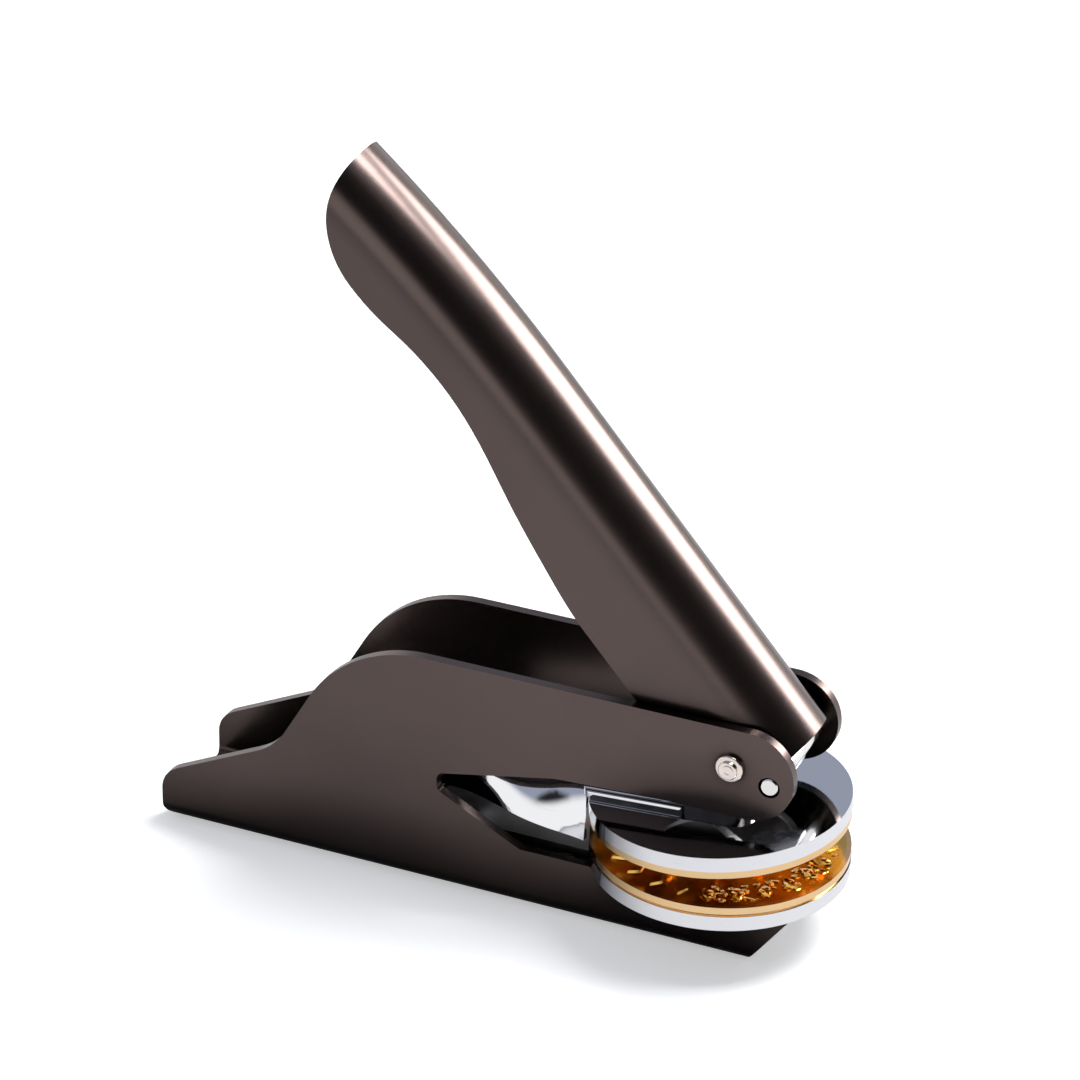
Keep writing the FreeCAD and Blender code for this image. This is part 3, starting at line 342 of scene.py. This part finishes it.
def turned(name, profile, centre, material):
    """Both ends of a rivet across the frame, turned from (radius, reach) pairs."""
    mesh = bpy.data.meshes.new(name)
    points, faces = [], []
    for side in (-1, 1):
        first = len(points)
        for radius, reach in profile:
            for i in range(TURNED_STEPS):
                turn = 2 * math.pi * i / TURNED_STEPS
                points.append((centre.x + radius * math.cos(turn), side * reach,
                               centre.z + radius * math.sin(turn)))
        end = [tuple(range(len(points) - TURNED_STEPS, len(points)))]
        for ring in range(len(profile) - 1):
            for i in range(TURNED_STEPS):
                a = first + ring * TURNED_STEPS + i
                b = first + ring * TURNED_STEPS + (i + 1) % TURNED_STEPS
                end.append((a, b, b + TURNED_STEPS, a + TURNED_STEPS))
        faces += [face[::-side] for face in end]
    mesh.from_pydata(points, [], faces)
    for face in mesh.polygons:
        face.use_smooth = True
    mesh.materials.append(material)
    return placed(name, mesh)


def arc_points(centre_r, centre_y, radius, start, end, count=5):
    """Points (radius, reach) of a rounded corner, angles in degrees from straight outwards."""
    turns = [math.radians(start + (end - start) * i / count) for i in range(count + 1)]
    return [(centre_r + radius * math.sin(t), centre_y + radius * math.cos(t)) for t in turns]


def pivot_rivet():
    """The rivet's collar, its narrower boss and the dish in the end of that."""
    low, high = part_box("pivot_rivet")
    reach = high.y
    radius = (high.x - low.x) / 2
    collar = reach - BOSS_REACH
    profile = [(radius, 0.0), (radius, collar - COLLAR_EDGE_START)]
    profile += arc_points(radius - COLLAR_EDGE, collar - COLLAR_EDGE, COLLAR_EDGE, 90, 0)
    profile += [(BOSS_RADIUS + FILLET[0], collar), (BOSS_RADIUS, collar + FILLET[1])]
    profile += arc_points(BOSS_RADIUS - BOSS_EDGE, reach - BOSS_EDGE, BOSS_EDGE, 90, 0)
    profile += [(ring, reach - depth) for ring, depth in DISH_RING]
    profile += arc_points(0.0, reach - DOME_DEPTH, DOME_RADIUS, 18, 0.5, 6)
    piece = turned("pivot_rivet_ends", profile, (low + high) / 2, finishes["nickel"])
    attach(piece, "base")
    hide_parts("pivot_rivet")


pivot_rivet()


# --------------------------------------------------------------------- springs
LEG_FOOT = Vector((-2.98, 0.0, -0.484))     # mm from the pivot, where the leg leaves the bend
LEG_TIP = Vector((-5.18, 0.0, 12.986))
LEAF_BEND_START = -0.0565                   # x where the leaf leaves its riveted foot
LEAF_BEND_END = -0.037                      # x where it bears on the upper jaw
LEAF_RINGS = 12
SAME_POINT = 1e-6                           # corners nearer than this are one corner
ON_PLANE = 1e-5                             # corners nearer than this to a cut are on it
SPRING_SMOOTH_ANGLE = math.radians(40)


def sliced_copy(node, name, cuts):
    """Copy of a node's mesh cut by planes (point, normal, side kept, or 0 for both sides)."""
    shape = bmesh.new()
    shape.from_mesh(nodes[node].data)
    bmesh.ops.remove_doubles(shape, verts=shape.verts[:], dist=SAME_POINT)
    for point, normal, kept in cuts:
        everything = shape.verts[:] + shape.edges[:] + shape.faces[:]
        cut = bmesh.ops.bisect_plane(shape, geom=everything, dist=ON_PLANE,
                                     plane_co=point, plane_no=normal,
                                     clear_inner=kept > 0, clear_outer=kept < 0)
        if kept:
            edges = [e for e in cut["geom_cut"] if isinstance(e, bmesh.types.BMEdge)]
            rim = [e for e in edges if e.is_boundary]
            bmesh.ops.contextual_create(shape, geom=rim)
    bmesh.ops.recalc_face_normals(shape, faces=shape.faces[:])
    for face in shape.faces:
        face.smooth = True
    mesh = bpy.data.meshes.new(name)
    shape.to_mesh(mesh)
    shape.free()
    mesh.set_sharp_from_angle(angle=SPRING_SMOOTH_ANGLE)
    mesh.materials.append(finishes["spring_steel"])
    return placed(name, mesh)


def handle_spring():
    """The strip, cut where its rear leg begins, so that the leg turns with the handle."""
    low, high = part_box("pivot_rivet")
    foot = (low + high) / 2 + LEG_FOOT / 1000
    along = (LEG_TIP - LEG_FOOT).normalized()
    for part, side, body in (("bend", -1, "base"), ("leg", 1, "handle")):
        piece = sliced_copy("handle_spring", "handle_spring_" + part, [(foot, along, side)])
        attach(piece, body)
        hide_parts("handle_spring")


def jaw_spring():
    """The leaf, with rings cut across it between its riveted foot and the upper jaw."""
    low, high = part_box("jaw_spring")
    step = (LEAF_BEND_END - LEAF_BEND_START) / LEAF_RINGS
    places = [LEAF_BEND_START + step * i for i in range(LEAF_RINGS + 1)]
    rings = [(Vector((x, 0, 0)), Vector((1, 0, 0)), 0) for x in places]
    leaf = sliced_copy("jaw_spring", "jaw_spring_leaf", rings)
    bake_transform(leaf)
    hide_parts("jaw_spring")


handle_spring()
jaw_spring()


# ------------------------------------------------------------------- the stage
FLOOR_HALF = 4.0
FLOOR_SEEN = (0.82, 0.82, 0.82)
FLOOR_MIRRORED = (0.70, 0.695, 0.69)        # also what lights the object from below
FLOOR_GLOW = (0.45, 1.0)        # of the floor by itself, near the object and far from it
FLOOR_FADE = (0.25, 0.7)        # from the middle, where one passes into the other
ROOM_BLUE = (0.32, 0.35, 0.43)
ROOM_DARK = (0.016, 0.016, 0.018)
SWEEP_WHITE = (0.95, 0.94, 0.93)
SWEEP_FADE = (15, 26)           # degrees above the floor, where the sweep passes into the room
# Dark sides of the room: limits of azimuth and of elevation in degrees, each with its soft edge
HIGH_CARD = ((-25, 80, 5), (0, 47, 6))
LOW_CARD = ((22, 104, 14), (12, 52, 10))
LAMP_TARGET = Vector((-0.03, 0.0, 0.045))   # the middle of the object


def make_floor():
    """Pale floor: white and self-lit for the camera, so that only the near shadow shows."""
    mesh = bpy.data.meshes.new("floor")
    sides = ((-1, -1), (1, -1), (1, 1), (-1, 1))
    mesh.from_pydata([(x * FLOOR_HALF, y * FLOOR_HALF, 0) for x, y in sides], [], [(0, 1, 2, 3)])
    floor = placed("floor", mesh)
    material = bpy.data.materials.new("floor_white")
    material.use_nodes = True
    material.node_tree.nodes.clear()
    n = Nodes(material.node_tree)
    plain = n.add("ShaderNodeBsdfDiffuse")
    n.feed(plain.inputs["Color"], FLOOR_MIRRORED)
    soft = n.add("ShaderNodeBsdfDiffuse")
    n.feed(soft.inputs["Color"], FLOOR_SEEN)
    far = n.add("ShaderNodeVectorMath", operation="LENGTH")
    n.link(n.add("ShaderNodeTexCoord").outputs["Object"], far.inputs[0])
    glow = n.add("ShaderNodeEmission")
    n.feed(glow.inputs["Color"], (1, 1, 1))
    n.feed(glow.inputs["Strength"], n.range(far.outputs["Value"], *FLOOR_GLOW, *FLOOR_FADE))
    both = n.add("ShaderNodeAddShader")
    n.link(soft.outputs[0], both.inputs[0])
    n.link(glow.outputs[0], both.inputs[1])
    n.show(both, plain, n.add("ShaderNodeOutputMaterial"))
    mesh.materials.append(material)


def make_world():
    """White for the camera; metal mirrors the white sweep low down and a dim room above it."""
    world = bpy.data.worlds.new("studio")
    bpy.context.scene.world = world
    world.use_nodes = True
    world.node_tree.nodes.clear()
    n = Nodes(world.node_tree)
    split = n.add("ShaderNodeSeparateXYZ")
    n.link(n.add("ShaderNodeTexCoord").outputs["Generated"], split.inputs[0])
    x, y, z = split.outputs
    turn = n.math("ARCTAN2", x, n.math("MULTIPLY", y, -1.0))
    azimuth = n.math("MULTIPLY", turn, math.degrees(1))
    elevation = n.math("MULTIPLY", n.math("ARCSINE", z), math.degrees(1))

    def card(sides, levels):
        return n.math("MULTIPLY", n.band(azimuth, *sides, "SMOOTHSTEP"),
                      n.band(elevation, *levels, "SMOOTHSTEP"))

    low_card = card(*LOW_CARD)
    dark = n.math("MAXIMUM", low_card, card(*HIGH_CARD))
    low_down = n.range(elevation, 1.0, 0.0, *SWEEP_FADE, "SMOOTHSTEP")
    sweep = n.math("MULTIPLY", low_down, n.math("SUBTRACT", 1.0, low_card))
    room = n.add("ShaderNodeBackground")
    sky = n.blend(dark, ROOM_BLUE, ROOM_DARK)
    n.feed(room.inputs["Color"], n.blend(sweep, sky, SWEEP_WHITE))
    white = n.add("ShaderNodeBackground")
    n.feed(white.inputs["Color"], (1, 1, 1))
    n.show(white, room, n.add("ShaderNodeOutputWorld"), sweep)


def direction(azimuth, elevation):
    """Unit vector; azimuth is measured from the near side towards the die end."""
    a = math.radians(azimuth)
    e = math.radians(elevation)
    return Vector((math.sin(a) * math.cos(e), -math.cos(a) * math.cos(e), math.sin(e)))


def softbox(name, toward, distance, width, height, power, color=(1, 1, 1)):
    """Rectangular lamp aimed at the middle of the object."""
    lamp = bpy.data.lights.new(name, "AREA")
    lamp.shape = "RECTANGLE"
    lamp.size = width
    lamp.size_y = height
    lamp.energy = power
    lamp.color = color
    holder = placed(name, lamp)
    holder.location = LAMP_TARGET + toward * distance
    holder.rotation_euler = (-toward).to_track_quat("-Z", "Y").to_euler()
    return holder


make_floor()
make_world()
key = softbox("key_box", direction(136, 28), 1.0, 0.56, 0.50, 11.5, (1.0, 0.99, 0.98))
key.visible_diffuse = False     # it only draws the highlight along the handle
softbox("top_box", direction(131, 65), 1.2, 0.62, 0.62, 17.0)


# ------------------------------------------------------------------ the camera
# Solved from edges of the photograph; angles in radians, lengths on its frame in pixels
CAMERA_AZIMUTH, CAMERA_ELEVATION, CAMERA_ROLL = 0.4065, 0.4812, 0.0175
CAMERA_PLACE = (0.189642, -0.536216, 0.369667)
FOCAL_PX, CENTRE_X_PX, CENTRE_Y_PX, FRAME_PX = 3989.84, 499.44, 527.07, 1080.0
SENSOR_MM = 36.0


def make_camera():
    ca, sa = math.cos(CAMERA_AZIMUTH), math.sin(CAMERA_AZIMUTH)
    ce, se = math.cos(CAMERA_ELEVATION), math.sin(CAMERA_ELEVATION)
    back = Vector((sa * ce, -ca * ce, se))
    level = Vector((ca, sa, 0))
    rise = back.cross(level)
    right = math.cos(CAMERA_ROLL) * level + math.sin(CAMERA_ROLL) * rise
    up = math.cos(CAMERA_ROLL) * rise - math.sin(CAMERA_ROLL) * level
    data = bpy.data.cameras.new("camera")
    data.sensor_width = SENSOR_MM
    data.lens = FOCAL_PX / FRAME_PX * data.sensor_width
    data.shift_x = (FRAME_PX / 2 - CENTRE_X_PX) / FRAME_PX
    data.shift_y = (CENTRE_Y_PX - FRAME_PX / 2) / FRAME_PX
    data.clip_start = 0.01
    camera = placed("camera", data)
    turn = Matrix((right, up, back)).transposed().to_4x4()
    camera.matrix_world = Matrix.Translation(CAMERA_PLACE) @ turn
    bpy.context.scene.camera = camera


make_camera()
bpy.context.scene.view_settings.view_transform = "Standard"
